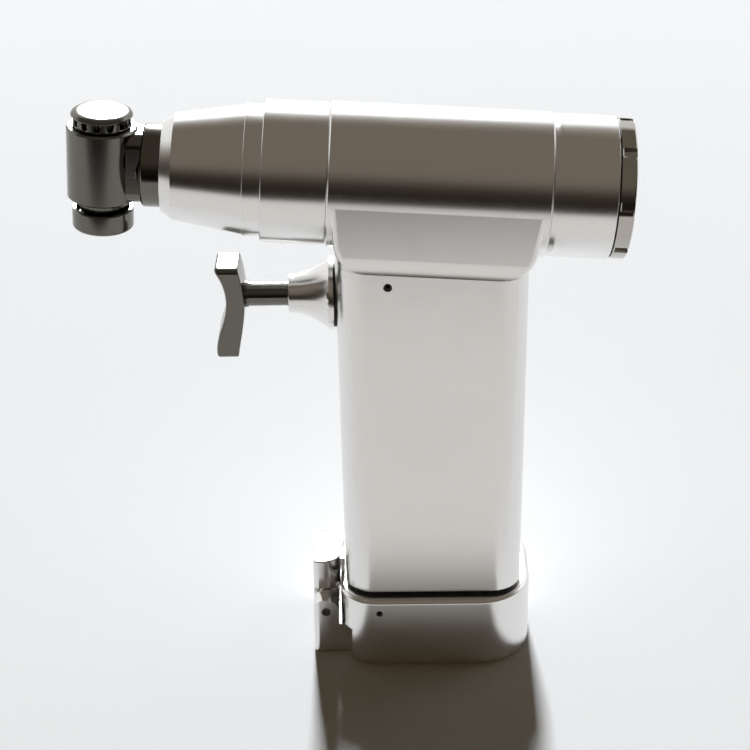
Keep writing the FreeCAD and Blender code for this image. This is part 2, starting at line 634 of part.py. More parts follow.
# release button: a cup on a stem, its tapered guide pressed into the head, and its spring
GUIDE_LOW = BUTTON_TOP - 0.3
guide = turned([
    (HEAD_BOTTOM + GUIDE_PRESSED, BUTTON_STEM_RADIUS + RUN_GAP),
    (HEAD_BOTTOM + GUIDE_PRESSED, HEAD_BORE),
    (HEAD_BOTTOM, HEAD_BORE),
    (HEAD_BOTTOM, GUIDE_TOP_RADIUS),
    (GUIDE_LOW, GUIDE_LOW_RADIUS),
    (GUIDE_LOW, BUTTON_STEM_RADIUS + RUN_GAP),
], "z", HEAD_AXIS)
nodes["button_guide"] = solid_of(to_barrel(guide))
BUTTON_FLOOR = ROD_LOW - 0.15
BUTTON_STEM_TOP = HEAD_BOTTOM - RELEASE_STROKE + 1.6
button = turned([
    (BUTTON_FLOOR, 0.0),
    (BUTTON_FLOOR, SPRING_ROOM_RADIUS + 0.3),
    (BUTTON_STEM_TOP, SPRING_ROOM_RADIUS + 0.3),
    (BUTTON_STEM_TOP, BUTTON_STEM_RADIUS),
    (BUTTON_CUP_FLOOR, BUTTON_STEM_RADIUS),
    (BUTTON_CUP_FLOOR, BUTTON_CUP_RADIUS),
    (BUTTON_TOP, BUTTON_CUP_RADIUS),
    (BUTTON_TOP, BUTTON_RADIUS - 0.3),
    (BUTTON_TOP - 0.3, BUTTON_RADIUS),
    (BUTTON_BOTTOM + 0.8, BUTTON_RADIUS),
    ("arc", (BUTTON_BOTTOM + 0.24, BUTTON_RADIUS - 0.24), (BUTTON_BOTTOM, BUTTON_RADIUS - 0.8)),
    (BUTTON_BOTTOM, 6.6),
    ("arc", (BUTTON_BOTTOM + 0.3, 3.9), (BUTTON_BOTTOM + 0.4, 1.2)),
    (BUTTON_BOTTOM + 0.4, 0.0),
], "z", HEAD_AXIS)
nodes["release_button"] = solid_of(to_barrel(button))
button_spring = spring(6.2, 0.7, BUTTON_CUP_FLOOR + 0.05, GUIDE_LOW - 0.05, 2.2, "z", HEAD_AXIS, 0.0)
nodes["button_spring"] = to_barrel(button_spring)

# drive train: motor, coupling, shaft, eccentric pin and ring
nodes["motor_can"] = solid_of(to_barrel(tube(MOTOR_RADIUS, 11.5, MOTOR_FRONT, MOTOR_REAR, "x")))
flange = tube(HOUSING_BORE, 4.0, MOTOR_FRONT - 3.0, MOTOR_FRONT, "x")
for index in range(3):
    hole = rod(1.25, MOTOR_FRONT - 4, MOTOR_FRONT + 1, "x", 10.5, 0.0)
    hole.rotate(vec(0, 0, 0), vec(1, 0, 0), 120 * index)
    flange = flange.cut(hole)
nodes["motor_flange"] = solid_of(to_barrel(flange))
rotor = rod(9.5, MOTOR_FRONT + 4, MOTOR_REAR - 6, "x")
rotor = rotor.fuse(rod(MOTOR_SHAFT_RADIUS, MOTOR_FRONT - 9, MOTOR_REAR - 2, "x"))
nodes["motor_rotor"] = solid_of(to_barrel(rotor))
motor_end = tube(HOUSING_BORE, MOTOR_SHAFT_RADIUS + RUN_GAP, MOTOR_REAR, MOTOR_REAR + 2.5, "x")
nodes["motor_end_plate"] = solid_of(to_barrel(motor_end))


def jaw_half(start, end, jaw_end, bore, first):
    # hub with three jaws, each jaw a little under a sixth of the ring
    hub = tube(7.0, bore, start, end, "x")
    for index in range(3):
        low = min(end if jaw_end > end else start, jaw_end)
        high = max(end if jaw_end > end else start, jaw_end)
        jaw = tube(7.0, 3.0, low, high, "x")
        wedge = Part.makeCylinder(9.0, high - low, vec(low, 0, 0), vec(1, 0, 0), JAW_ANGLE)
        jaw = jaw.common(wedge)
        jaw.rotate(vec(0, 0, 0), vec(1, 0, 0), first + 120 * index)
        hub = hub.fuse(jaw)
    return hub.removeSplitter()


nodes["coupling_motor_half"] = solid_of(to_barrel(jaw_half(-34.5, -30.5, -38.0, MOTOR_SHAFT_RADIUS, 7)))
nodes["coupling_shaft_half"] = solid_of(to_barrel(jaw_half(-42.5, -38.4, -34.9, SHAFT_RADIUS, 67)))
spider = tube(3.0, 1.2, -38.4, -34.5, "x")
for index in range(6):
    leg = block(-38.0, -34.9, -0.25, 0.25, 2.0, 6.6)
    leg.rotate(vec(0, 0, 0), vec(1, 0, 0), 60 * index)
    spider = spider.fuse(leg)
nodes["coupling_spider"] = solid_of(to_barrel(spider))

drive_shaft = rod(SHAFT_RADIUS, SHAFT_FRONT, SHAFT_REAR, "x")
drive_shaft = drive_shaft.fuse(rod(
    ECCENTRIC_PIN_RADIUS, ECCENTRIC_RING_FRONT - 0.2, SHAFT_FRONT, "x", 0.0, ECCENTRIC))
nodes["drive_shaft"] = solid_of(to_barrel(drive_shaft))
ring_rear = ECCENTRIC_RING_FRONT + ECCENTRIC_RING_WIDTH
ring = bearing(
    ECCENTRIC_RING_RADIUS, ECCENTRIC_PIN_RADIUS, ECCENTRIC_RING_FRONT, ring_rear, "x", 0.0, ECCENTRIC)
nodes["eccentric_bearing"] = solid_of(to_barrel(ring))
nodes["shaft_bearing_front"] = solid_of(to_barrel(bearing(
    SHAFT_BORE, SHAFT_RADIUS + RUN_GAP, -75.5, -72.5, "x")))
nodes["shaft_bearing_rear"] = solid_of(to_barrel(bearing(
    SHAFT_BORE, SHAFT_RADIUS + RUN_GAP, -58.5, -55.5, "x")))

# trigger boss flares out to the handle's front face
boss = turned([
    (BOSS_FRONT, BOSS_BORE),
    (BOSS_FRONT, BOSS_FRONT_RADIUS - 0.3),
    (BOSS_FRONT + 0.3, BOSS_FRONT_RADIUS),
    (BOSS_FRONT + 1.2, BOSS_FRONT_RADIUS),
    ("arc", (-34.2, 7.3), (-29.4, BOSS_REAR_RADIUS)),
    (-26.0, BOSS_REAR_RADIUS),
    (-26.0, BOSS_BORE),
], "x")
boss.translate(vec(0, 0, TRIGGER_HEIGHT))
handle_shifted = handle_form.copy()
handle_shifted.translate(vec(-GASKET_THICK, 0, 0))
boss = boss.cut(handle_shifted)
nodes["trigger_boss"] = solid_of(boss)
gasket = tube(GASKET_RADIUS, BOSS_BORE, BOSS_FRONT + 10, -25.0, "x", 0.0, TRIGGER_HEIGHT)
gasket = gasket.common(handle_shifted).cut(handle_form)
nodes["boss_gasket"] = solid_of(gasket)
bush = tube(BOSS_BORE, STEM_RADIUS + RUN_GAP, BOSS_FRONT, -30.0, "x", 0.0, TRIGGER_HEIGHT)
nodes["trigger_bush"] = solid_of(bush)

# finger plate: a groove for the finger in front, a gently rounded back and rolled ends


def side_curve(points):
    curve = Part.BSplineCurve()
    curve.interpolate([vec(x, 0, z) for x, z in points])
    return curve.toShape()


plate_wire = Part.Wire(Part.__sortEdges__([
    side_curve(PLATE_FRONT),
    Part.makeLine(vec(PLATE_FRONT[0][0], 0, PLATE_HIGH), vec(PLATE_BACK[0][0], 0, PLATE_HIGH)),
    side_curve(PLATE_BACK),
    Part.makeLine(vec(PLATE_FRONT[-1][0], 0, PLATE_LOW), vec(PLATE_BACK[-1][0], 0, PLATE_LOW)),
]))
plate = Part.Face(plate_wire).extrude(vec(0, 2 * PLATE_HALF, 0))
plate.translate(vec(0, -PLATE_HALF, 0))


def is_plate_end(edge):
    box = edge.BoundBox
    return box.ZLength < 0.01 and box.YLength < 0.01 and box.XLength > 3


def is_plate_front(edge):
    box = edge.BoundBox
    return box.XMax < PLATE_FRONT_DEEP + 0.1


def is_plate_back(edge):
    box = edge.BoundBox
    return box.XMin > PLATE_BACK[-1][0] - 0.1


plate = fillet_where(plate, PLATE_ROLL, is_plate_end)
plate = fillet_where(plate, 0.8, is_plate_front)
plate = fillet_where(plate, 0.5, is_plate_back)
plate_back = PLATE_BACK_DEEP
nodes["trigger_plate"] = solid_of(plate.cut(
    rod(STEM_RADIUS - 1.0, plate_back - 3.5, plate_back + 2, "x", 0.0, TRIGGER_HEIGHT)))
stem = rod(STEM_RADIUS - 1.0, plate_back - 3.5, plate_back + 0.5, "x", 0.0, TRIGGER_HEIGHT)
stem_bar = rod(STEM_RADIUS, plate_back - 1.0, STEM_SHOULDER, "x", 0.0, TRIGGER_HEIGHT)
stem_collar = rod(STEM_RADIUS + 0.3, plate_back - 1.0, plate_back + 1.0, "x", 0.0, TRIGGER_HEIGHT)
stem = stem.fuse(stem_bar.fuse(stem_collar).cut(plate))
stem = stem.fuse(rod(STEM_TAIL_RADIUS, STEM_SHOULDER, STEM_TAIL_END, "x", 0.0, TRIGGER_HEIGHT))
clip_seat = HANDLE_BORE_FRONT + 0.3
stem = stem.cut(tube(
    STEM_RADIUS + 1, STEM_RADIUS - 0.6, clip_seat, clip_seat + 0.8, "x", 0.0, TRIGGER_HEIGHT))
nodes["trigger_stem"] = solid_of(stem)
clip = tube(STEM_RADIUS + 1.3, STEM_RADIUS - 0.6, clip_seat, clip_seat + 0.8, "x", 0.0, TRIGGER_HEIGHT)
clip = clip.cut(block(-40, 0, -1.6, 1.6, TRIGGER_HEIGHT - 10, TRIGGER_HEIGHT))
nodes["trigger_clip"] = solid_of(clip)
trigger_spring = spring(2.9, 0.6, STEM_SHOULDER + 0.05, SENSOR_FRONT - 0.05, 5, "x", 0.0, TRIGGER_HEIGHT)
nodes["trigger_spring"] = trigger_spring
nodes["trigger_magnet"] = solid_of(rod(
    STEM_TAIL_RADIUS, STEM_TAIL_END, STEM_TAIL_END + 2.0, "x", 0.0, TRIGGER_HEIGHT))
sensor = block(SENSOR_FRONT, SENSOR_REAR, -7.0, 7.0, TRIGGER_HEIGHT - 6.6, SPIGOT_LOW - 0.4)
magnet_room = STEM_TAIL_END + 2.0 + TRIGGER_STROKE + 0.5
sensor = sensor.cut(rod(
    STEM_TAIL_RADIUS + FREE_GAP, SENSOR_FRONT - 1, magnet_room, "x", 0.0, TRIGGER_HEIGHT))
nodes["trigger_sensor"] = solid_of(sensor)

# electronics in the handle
board_half = HANDLE_BORE_HALF - 0.6
board = block(BOARD_X, BOARD_X + 1.6, -board_half, board_half, CONTACT_HEIGHT + 8.0, SPIGOT_LOW - 0.4)
nodes["control_board"] = solid_of(board)
parts_on_board = []
for low, high, wide, deep in ((80, 86, 10, 3.2), (90, 100, 7, 1.2), (104, 109, 11, 2.4)):
    parts_on_board.append(block(BOARD_X + 1.6, BOARD_X + 1.6 + deep, -wide, wide, low, high))
nodes["board_components"] = Part.makeCompound(parts_on_board)
contact_plate = round_block(
    HANDLE_BORE_FRONT, HANDLE_BORE_REAR, HANDLE_BORE_HALF, HANDLE_BORE_CORNER, HANDLE_BORE_CORNER,
    CONTACT_HEIGHT, CONTACT_HEIGHT + 3.0)
pins = []
for x in (-8.0, 8.0):
    contact_plate = contact_plate.cut(rod(1.5, CONTACT_HEIGHT - 1, CONTACT_HEIGHT + 4, "z", x, 0.0))
    pin = rod(1.5, CONTACT_HEIGHT, CONTACT_HEIGHT + 5.0, "z", x, 0.0)
    pins.append(pin.fuse(rod(1.0, CASE_TOP + 0.6 + REST_GAP, CONTACT_HEIGHT, "z", x, 0.0)))
nodes["contact_plate"] = solid_of(contact_plate)
nodes["contact_pins"] = Part.makeCompound(pins)

# battery: a case with six cells in two rows and two pads on top
cell_pitch = 2 * CELL_RADIUS + CELL_WALL
case_half_x = 3 * CELL_RADIUS + CELL_WALL + CASE_WALL
case_half_y = 2 * CELL_RADIUS + CELL_WALL / 2 + CASE_WALL
CASE_MIDDLE = (HANDLE_BORE_FRONT + HANDLE_BORE_REAR) / 2
cell_low = CASE_BOTTOM + 2.0
case = round_block(
    CASE_MIDDLE - case_half_x, CASE_MIDDLE + case_half_x, case_half_y, 5.0, 5.0, CASE_BOTTOM, CASE_TOP)
cells = []
for column in (-1, 0, 1):
    for row in (-0.5, 0.5):
        x = CASE_MIDDLE + column * cell_pitch
        y = row * cell_pitch
        cell = rod(CELL_RADIUS - REST_GAP, cell_low, cell_low + CELL_LENGTH, "z", x, y)
        cell = cell.fuse(rod(2.7, cell_low + CELL_LENGTH, cell_low + CELL_LENGTH + 1.0, "z", x, y))
        cells.append(cell)
        case = case.cut(rod(CELL_RADIUS, cell_low - REST_GAP, cell_low + CELL_LENGTH + 1.4, "z", x, y))
pads = []
for x in (-8.0, 8.0):
    pad = rod(2.2, CASE_TOP - 0.6, CASE_TOP + 0.6, "z", x, 0.0)
    case = case.cut(rod(2.2, CASE_TOP - 0.6, CASE_TOP + 1, "z", x, 0.0))
    pads.append(pad)
nodes["battery_case"] = solid_of(case)
for index, cell in enumerate(cells):
    nodes["battery_cell_%d" % (index + 1)] = solid_of(cell)
nodes["battery_pads"] = Part.makeCompound(pads)

# battery lid with the latch bracket at its front
lid = round_block(LID_FRONT, LID_REAR, LID_HALF, LID_FRONT_CORNER, LID_REAR_CORNER, 0, LID_TOP)
lid = fillet_where(lid, LID_TOP_ROUND, lambda e: e.BoundBox.ZMin > LID_TOP - 0.01)
lid = lid.cut(round_block(
    LID_BORE_FRONT, LID_BORE_REAR, LID_BORE_HALF, HANDLE_BORE_CORNER, HANDLE_BORE_CORNER,
    LID_FLOOR, LID_TOP + 1))
for side in (-1, 1):
    low_y, high_y = sorted((side * BRACKET_HALF, side * 30))
    lid = lid.cut(block(-40, LID_POCKET_X, low_y, high_y, -1, LID_POCKET_TOP))
bracket = round_block(
    BRACKET_FRONT, LID_FRONT + 2, BRACKET_HALF, LEVER_FRONT_CORNER, 0.5, 0, BRACKET_BASE_TOP)
lid = lid.fuse(bracket)
ear_side = [
    (BRACKET_FRONT, BRACKET_BASE_TOP - 1),
    (BRACKET_FRONT, EAR_TOP - 3.4),
    ("arc", (BRACKET_FRONT + 1.0, EAR_TOP - 1.0), (BRACKET_FRONT + 3.4, EAR_TOP)),
    (BRACKET_BACK - 4.2, EAR_TOP),
    ("arc", (BRACKET_BACK - 1.23, EAR_TOP - 1.23), (BRACKET_BACK, EAR_TOP - 4.2)),
    (BRACKET_BACK, BRACKET_BASE_TOP - 1),
]
ear_edges = []
here = ear_side[0]
for step in ear_side[1:] + [ear_side[0]]:
    start = vec(here[0], -BRACKET_HALF, here[1])
    if step[0] == "arc":
        middle = vec(step[1][0], -BRACKET_HALF, step[1][1])
        ear_edges.append(Part.Arc(start, middle, vec(step[2][0], -BRACKET_HALF, step[2][1])).toShape())
        here = step[2]
    else:
        ear_edges.append(Part.makeLine(start, vec(step[0], -BRACKET_HALF, step[1])))
        here = step
ears = Part.Face(Part.Wire(ear_edges)).extrude(vec(0, 2 * BRACKET_HALF, 0))
ears = ears.common(round_block(
    BRACKET_FRONT, BRACKET_BACK, BRACKET_HALF, LEVER_FRONT_CORNER, 0.5, BRACKET_BASE_TOP - 1, EAR_TOP + 1))
ears = ears.cut(block(-50, -20, -EAR_INNER, EAR_INNER, BRACKET_BASE_TOP, EAR_TOP + 2))
ears = ears.cut(rod(PIN_RADIUS, -BRACKET_HALF - 1, BRACKET_HALF + 1, "y", PIN_X, PIN_HEIGHT))
lid = lid.fuse(ears)
lid_grub_root = LID_HALF - LID_GRUB_DEPTH
lid_grub_holes = rod(LID_GRUB_RADIUS, -LID_HALF - 1, -lid_grub_root, "y", LID_GRUB_X, LID_GRUB_HEIGHT)
lid_grub_holes = lid_grub_holes.fuse(rod(
    LID_GRUB_RADIUS, lid_grub_root, LID_HALF + 1, "y", LID_GRUB_X, LID_GRUB_HEIGHT))
lid = lid.cut(lid_grub_holes)
nodes["battery_lid"] = solid_of(lid)
lid_grub = rod(
    LID_GRUB_RADIUS, -LID_HALF + GRUB_SUNK, -lid_grub_root, "y", LID_GRUB_X, LID_GRUB_HEIGHT)
lid_grub = lid_grub.cut(hex_socket(0.6, -LID_HALF + GRUB_SUNK, 1.2, LID_GRUB_X, LID_GRUB_HEIGHT))
lid_grub_far = rod(
    LID_GRUB_RADIUS, lid_grub_root, LID_HALF - GRUB_SUNK, "y", LID_GRUB_X, LID_GRUB_HEIGHT)
lid_grub_far = lid_grub_far.cut(hex_socket(0.6, LID_HALF - GRUB_SUNK, -1.2, LID_GRUB_X, LID_GRUB_HEIGHT))
nodes["lid_grub_screws"] = Part.makeCompound([lid_grub, lid_grub_far])

seal_outer = round_block(
    HANDLE_FRONT_LOW + SEAL_INSET, HANDLE_REAR_LOW - SEAL_INSET, HANDLE_HALF - SEAL_INSET,
    HANDLE_CORNER - SEAL_INSET, HANDLE_CORNER - SEAL_INSET, LID_TOP, HANDLE_BOTTOM)
seal_hole = round_block(
    HANDLE_FRONT_LOW + SEAL_INSET + SEAL_WIDTH, HANDLE_REAR_LOW - SEAL_INSET - SEAL_WIDTH,
    HANDLE_HALF - SEAL_INSET - SEAL_WIDTH + 0.7, HANDLE_CORNER - SEAL_INSET - 1.0,
    HANDLE_CORNER - SEAL_INSET - 1.0,
    LID_TOP - 1, HANDLE_BOTTOM + 1)
nodes["lid_seal"] = solid_of(seal_outer.cut(seal_hole))

# latch: pin through the ears, thumb lever with its knuckle between them, and its spring
nodes["latch_pin"] = solid_of(rod(PIN_RADIUS, -PIN_HALF, PIN_HALF, "y", PIN_X, PIN_HEIGHT))
lever_head = round_block(
    BRACKET_FRONT, LEVER_BACK, LEVER_HALF, LEVER_FRONT_CORNER, LEVER_BACK_CORNER, LEVER_HEAD_LOW, LEVER_TOP)
lever_head = chamfer_where(lever_head, 0.4, lambda e: e.BoundBox.ZMin > LEVER_TOP - 0.01)
knuckle = rod(KNUCKLE_RADIUS, -LEVER_HALF, LEVER_HALF, "y", PIN_X, PIN_HEIGHT)
knuckle = knuckle.fuse(block(
    BRACKET_FRONT, PIN_X + KNUCKLE_RADIUS, -LEVER_HALF + LEVER_FRONT_CORNER, LEVER_HALF - LEVER_FRONT_CORNER,
    PIN_HEIGHT, LEVER_HEAD_LOW + 1))
nose = block(LEVER_BACK - 3, HANDLE_FRONT_LOW - 0.4, -3.0, 3.0, HANDLE_BOTTOM - 0.4, HANDLE_BOTTOM + 2.4)
lever = lever_head.fuse(knuckle).fuse(nose)
lever = lever.cut(rod(PIN_RADIUS + RUN_GAP, -20, 20, "y", PIN_X, PIN_HEIGHT))
lever = lever.cut(block(BRACKET_FRONT + 1.2, PIN_X + 6, -2.6, 2.6, PIN_HEIGHT - 5, PIN_HEIGHT + 2.8))
nodes["latch_lever"] = solid_of(lever)
nodes["latch_spring"] = spring(2.2, 0.5, -2.3, 2.3, 5, "y", PIN_X, PIN_HEIGHT)

for name, shape in nodes.items():
    shape.exportStep("parts/%s.step" % name)
    print(name, len(shape.Solids), round(shape.Volume, 1), shape.isValid())
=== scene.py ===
# %% [markdown]
# A surgical oscillating saw: a barrel with a motor in it, a dark head that swings the blade, and a
# handle with a battery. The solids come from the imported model, which is loaded first and never
# moved. Everything below dresses them: finer meshes, metal finishes, and a plain bright studio.

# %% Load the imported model
import json
import math

import bmesh
import bpy
from mathutils import Matrix, Vector

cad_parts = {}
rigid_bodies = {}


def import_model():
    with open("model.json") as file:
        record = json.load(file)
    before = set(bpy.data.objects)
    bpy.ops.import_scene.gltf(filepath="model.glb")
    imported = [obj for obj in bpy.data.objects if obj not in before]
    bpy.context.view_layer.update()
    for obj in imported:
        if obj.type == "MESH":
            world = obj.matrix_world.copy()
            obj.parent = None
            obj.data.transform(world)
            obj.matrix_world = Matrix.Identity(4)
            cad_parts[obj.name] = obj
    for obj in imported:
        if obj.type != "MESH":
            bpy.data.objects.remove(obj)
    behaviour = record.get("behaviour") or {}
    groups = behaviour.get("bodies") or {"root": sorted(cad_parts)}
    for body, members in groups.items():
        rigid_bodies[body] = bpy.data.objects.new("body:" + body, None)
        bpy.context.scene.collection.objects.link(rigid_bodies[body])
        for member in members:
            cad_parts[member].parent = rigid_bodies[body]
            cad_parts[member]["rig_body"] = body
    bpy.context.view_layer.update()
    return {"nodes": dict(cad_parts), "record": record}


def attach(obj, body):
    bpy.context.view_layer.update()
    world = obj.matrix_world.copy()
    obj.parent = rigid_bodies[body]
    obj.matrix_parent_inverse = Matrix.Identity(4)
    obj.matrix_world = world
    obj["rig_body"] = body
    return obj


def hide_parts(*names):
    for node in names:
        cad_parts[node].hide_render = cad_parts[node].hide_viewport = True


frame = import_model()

nodes = frame["nodes"]
slots = {part["node"]: part["material_slot"] for part in frame["record"]["subparts"]}

# %% [markdown]
# The camera stands a little over half a metre in front of the saw and looks down on it. A long
# lens keeps the barrel nearly parallel, and a small roll tips the picture as the photograph is
# tipped. The camera's matrix is built from turns, which read as a tripod head does.

# %% Camera
MM = 0.001
CAMERA_PLACE = Vector((-11.2, -523.1, 373.8)) * MM
CAMERA_YAW = 0.587
CAMERA_PITCH = 28.507
CAMERA_ROLL = 0.972
LENS = 96.1
SENSOR_WIDTH = 36.0
NEAREST = 0.01

camera_data = bpy.data.cameras.new("camera")
camera_data.lens = LENS
camera_data.sensor_width = SENSOR_WIDTH
camera_data.clip_start = NEAREST
camera = bpy.data.objects.new("camera", camera_data)
bpy.context.scene.collection.objects.link(camera)
heading = Matrix.Rotation(math.radians(CAMERA_YAW), 4, "Z")
looking = Matrix.Rotation(math.radians(90 - CAMERA_PITCH), 4, "X")
rolled = Matrix.Rotation(math.radians(-CAMERA_ROLL), 4, "Z")
camera.matrix_world = Matrix.Translation(CAMERA_PLACE) @ heading @ looking @ rolled
bpy.context.scene.camera = camera
view_line = camera.matrix_world.to_3x3() @ Vector((0, 0, -1))
print("the camera looks along", [round(v, 3) for v in view_line])

# %% [markdown]
# A finish is a sum of patterns, and sums are easiest to read as sums. A small class wraps a
# socket, so two patterns are added or multiplied with the usual signs, and each sign adds one
# Math node to the tree.

# %% Signal: a socket that can be added and multiplied
class Signal:
    def __init__(self, recipe, socket):
        self.recipe = recipe
        self.socket = socket

    def maths(self, operation, first, second):
        return self.recipe.add("ShaderNodeMath", {"operation": operation}, first, second)

    def __add__(self, other):
        return self.maths("ADD", self, other)

    def __sub__(self, other):
        return self.maths("SUBTRACT", self, other)

    def __mul__(self, other):
        return self.maths("MULTIPLY", self, other)

    def __radd__(self, other):
        return self.maths("ADD", other, self)

    def __rsub__(self, other):
        return self.maths("SUBTRACT", other, self)

    def __rmul__(self, other):
        return self.maths("MULTIPLY", other, self)


# %% [markdown]
# A node tree could be wired by hand, one link at a time, and nobody could read it later. Here
# every node comes from one method instead. It takes the node's type, then its settings, then
# what feeds its sockets, and gives back the output that is asked for by number or by name. Only
# the Mix node is made apart, because it holds hidden sockets for numbers and for vectors too.

# %% Recipe: a node tree that is filled by one method
class Recipe:
    def __init__(self, tree):
        self.tree = tree
        tree.nodes.clear()

    def feed(self, socket, value):
        if isinstance(value, Signal):
            self.tree.links.new(value.socket, socket)
        else:
            socket.default_value = value

    def add(self, kind, settings=None, *inputs, out=0, **named):
        """A node with its settings made first, then its sockets fed in order or by name."""
        node = self.tree.nodes.new(kind)
        for name, value in (settings or {}).items():
            setattr(node, name, value)
        for index, value in enumerate(inputs):
            self.feed(node.inputs[index], value)
        for name, value in named.items():
            self.feed(node.inputs[name.replace("_", " ")], value)
        return Signal(self, node.outputs[out]) if node.outputs else None

    def smooth(self, value, low, high):
        """0 below low, 1 above high, and an easy slope between."""
        return self.add("ShaderNodeMapRange", {"interpolation_type": "SMOOTHSTEP"},
                        value, low, high, 0.0, 1.0)

    def mix(self, factor, first, second):
        """Colour first where factor is 0, second where it is 1."""
        node = self.tree.nodes.new("ShaderNodeMix")
        node.data_type = "RGBA"
        colours = [socket for socket in node.inputs if socket.type == "RGBA"]
        self.feed(node.inputs[0], factor)
        self.feed(colours[0], first)
        self.feed(colours[1], second)
        result = [socket for socket in node.outputs if socket.type == "RGBA"][0]
        return Signal(self, result)

    def noise(self, place, size, detail=3.0):
        """Soft cloudy noise whose blotches are about size metres across."""
        return self.add("ShaderNodeTexNoise", {}, Vector=place, Scale=1.0 / size, Detail=detail)

    def mirror_ray(self):
        """1 for a ray that metal sends straight to here, 0 for light that a matt face has spread."""
        spread = self.add("ShaderNodeLightPath", out="Diffuse Depth")
        direct = self.add("ShaderNodeMath", {"operation": "LESS_THAN"}, spread, 0.5)
        return direct * self.add("ShaderNodeLightPath", out="Is Glossy Ray")


# %% [markdown]
# Every metal on this saw is one Principled shader with another surface. What tells blasted steel
# from polished steel is roughness and grain, so a finish is written as: a tone that drifts a
# little, smears left by handling that change only the roughness, and a fine height for the bump.
# The patterns read Object coordinates, so they stay on the part when it moves.

# %% Helper: colours and a new material
def rgb(red, green, blue):
    return (red, green, blue, 1.0)


def shades(colour, share):
    """The same colour a little darker and a little lighter."""
    dark = tuple(part * (1 - share) for part in colour)
    light = tuple(min(1.0, part * (1 + share)) for part in colour)
    return rgb(*dark), rgb(*light)


def new_material(name):
    """A material, the recipe that fills its tree, and the place that its patterns read."""
    material = bpy.data.materials.new(name)
    material.use_nodes = True
    r = Recipe(material.node_tree)
    return material, r, r.add("ShaderNodeTexCoord", out="Object")


# %% [markdown]
# Sizes are how large each pattern's blotches are. Scratches are noise squeezed to hairs and laid
# aslant, and a threshold keeps only the few highest of them. The shares say how much of each
# pattern reaches the roughness as well as the height.

# %% Helper: a metal
TONE_SIZE = 55 * MM
SMEAR_SIZE = 16 * MM
FINGER_SIZE = 7 * MM
FINGER_EDGES = (0.52, 0.70)
FINGER_SHARE = 0.6
GRAIN_SHARE = 0.25
LINE_SHARE = 0.5
SCRATCH_TURN = (0.6, 0.9, 0.4)
SCRATCH_SCALE = (90.0, 2600.0, 900.0)
SCRATCH_EDGES = (0.66, 0.74)
SCRATCH_SHARE = 0.3
METAL_BUMP = 0.01 * MM


def metal(name, colour, roughness, drift=0.04, smear=0.04, grain=0.0, grain_size=0.12 * MM,
          lines=0.0, line_scale=(1.0, 1.0, 1.0), turn=(0.0, 0.0, 0.0), scratches=0.0):
    material, r, place = new_material(name)
    dark, light = shades(colour, drift)
    paint = r.mix(r.noise(place, TONE_SIZE), dark, light)
    smears = r.noise(place, SMEAR_SIZE, 5.0)
    fingers = r.smooth(r.noise(place, FINGER_SIZE, 2.0), *FINGER_EDGES)
    rough = roughness + (smears - 0.5) * (2 * smear) + fingers * (FINGER_SHARE * smear)
    fine = r.noise(place, grain_size, 2.0)
    height = fine * grain
    rough = rough + (fine - 0.5) * (GRAIN_SHARE * grain)
    if lines:
        along = r.add("ShaderNodeMapping", {}, Vector=place, Rotation=turn, Scale=line_scale)
        rings = r.noise(along, 1.0)
        height = height + rings * lines
        rough = rough + (rings - 0.5) * (LINE_SHARE * lines)
    if scratches:
        crossed = r.add("ShaderNodeMapping", {}, Vector=place, Rotation=SCRATCH_TURN,
                        Scale=SCRATCH_SCALE)
        marks = r.smooth(r.noise(crossed, 1.0, 2.0), *SCRATCH_EDGES) * scratches
        height = height - marks
        rough = rough + marks * SCRATCH_SHARE
    bump = r.add("ShaderNodeBump", {}, Strength=0.3, Distance=METAL_BUMP, Height=height)
    shader = r.add("ShaderNodeBsdfPrincipled", {}, Base_Color=paint, Metallic=1.0,
                   Roughness=rough, Normal=bump)
    r.add("ShaderNodeOutputMaterial", {}, shader)
    print("metal", name, "nodes", len(material.node_tree.nodes))
    return material


# %% [markdown]
# The barrel, the collars, the handle and the lid are stainless steel, blasted with fine beads.
# The beads leave a matt grain finer than a tenth of a millimetre, seen only as a soft highlight.

# %% Finish: blasted steel
finishes = {}
finishes["satin_steel"] = metal("blasted_steel", (0.80, 0.79, 0.775), 0.22, grain=0.6,
                                grain_size=0.09 * MM, smear=0.02, scratches=0.06)

# %% [markdown]
# The head, the button, the trigger and the blade seat are polished and then darkened to a smoky
# gunmetal. Turning leaves faint rings about the barrel's axis under the polish. Noise squeezed
# along one axis draws them: many changes per metre along the axis, few across it.

# %% Finish: dark polished steel
BARREL_TILT = math.radians(3.85)
RING_TURN = (0.0, -BARREL_TILT, 0.0)
RING_SCALE = (4200.0, 40.0, 40.0)
finishes["polished_steel"] = metal("smoked_steel", (0.155, 0.15, 0.132), 0.16, smear=0.025,
                                   lines=0.12, line_scale=RING_SCALE, turn=RING_TURN,
                                   scratches=0.35)

# %% [markdown]
# The rear cap is bright and polished to a mirror. A mirror has almost no roughness of its own, so
# hair scratches and finger marks are all that is seen of its surface.

# %% Finish: mirror steel
finishes["mirror_steel"] = metal("mirror_steel", (0.48, 0.465, 0.43), 0.055, drift=0.02,
                                 smear=0.02, scratches=0.5)

# %% [markdown]
# Small parts: blackened screws, ground bearing steel, drawn spring wire, turned aluminium, the
# dull iron of the motor and the bronze of the bush. Turned parts carry rings, ground ones don't.

